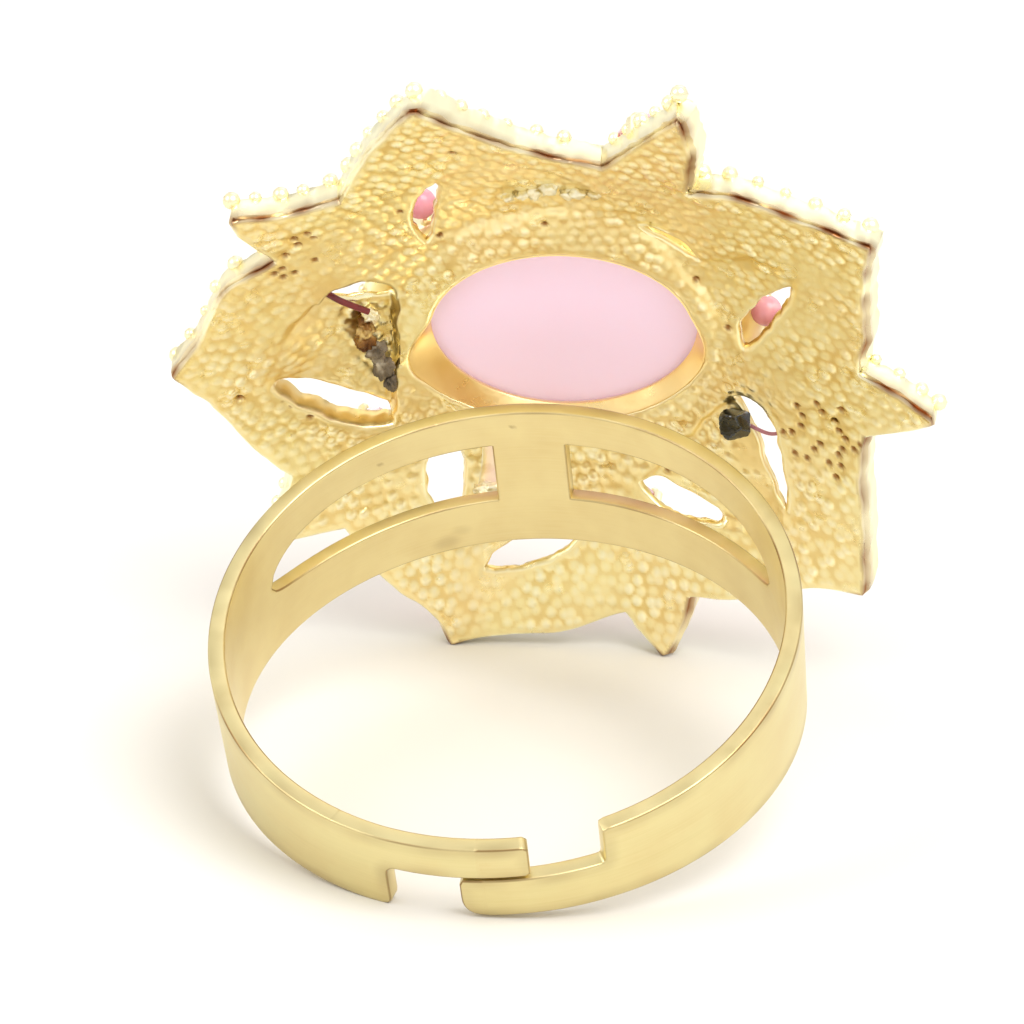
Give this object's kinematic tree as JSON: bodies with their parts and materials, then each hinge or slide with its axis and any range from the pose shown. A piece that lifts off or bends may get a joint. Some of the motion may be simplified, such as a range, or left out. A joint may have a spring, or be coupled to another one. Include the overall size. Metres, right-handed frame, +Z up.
{
  "type": "adjustable cocktail ring",
  "caption": "Adjustable cocktail ring: a split, windowed brass shank carries a large domed flower of cast petals round an oval pink cabochon.",
  "frame": {"origin": "centre of the bounding box's underside, on the surface that the ring lies on", "axes": "+Z up from that surface, +Y from the shank's split towards the flower, +X to the right seen from the split"},
  "size_m": [0.0262, 0.027, 0.0229],
  "materials": {
    "satin_brass": "gold-coloured plate on rolled brass strip, satin inside, brighter outside",
    "cast_brass": "gold-coloured plate on a pebbled casting",
    "rose_stone": "milky pink resin cabochon with a flat matt back",
    "pink_enamel": "glossy pink resin enamel",
    "pink_glass": "polished pink paste stones and beads",
    "red_wire": "dark red lacquered wire"
  },
  "bodies": {
    "ring_head": {"shank_crown": "satin_brass", "mount_post": "cast_brass", "stone_cup": "cast_brass", "broad_petal_1": "cast_brass", "broad_petal_2": "cast_brass", "broad_petal_3": "cast_brass", "broad_petal_4": "cast_brass", "broad_petal_5": "cast_brass", "pointed_petal_1": "cast_brass", "pointed_petal_2": "cast_brass", "pointed_petal_3": "cast_brass", "pointed_petal_4": "cast_brass", "pointed_petal_5": "cast_brass", "cabochon": "rose_stone", "enamel_1": "pink_enamel", "enamel_2": "pink_enamel", "enamel_3": "pink_enamel", "enamel_4": "pink_enamel", "enamel_5": "pink_enamel", "drop_stone_1": "pink_glass", "drop_stone_2": "pink_glass", "drop_stone_3": "pink_glass", "drop_stone_4": "pink_glass", "drop_stone_5": "pink_glass", "stamen_bead_left": "pink_glass", "stamen_bead_right": "pink_glass", "stamen_left": "red_wire", "stamen_right": "red_wire"},
    "arm_left": {"shank_arm_left": "satin_brass"},
    "arm_right": {"shank_arm_right": "satin_brass"}
  },
  "joints": [
    {"name": "left_arm_bend", "type": "hinge", "parent": "ring_head", "child": "arm_left", "pos_m": [-0.00912, -0.00142, 0.00545], "axis": [0.0674, 0.3766, -0.9239], "range_deg": [-4.5, 8]},
    {"name": "right_arm_bend", "type": "hinge", "parent": "ring_head", "child": "arm_right", "pos_m": [0.00846, -0.00142, 0.00674], "axis": [-0.0674, -0.3766, 0.9239], "range_deg": [-4.5, 8]}
  ]
}
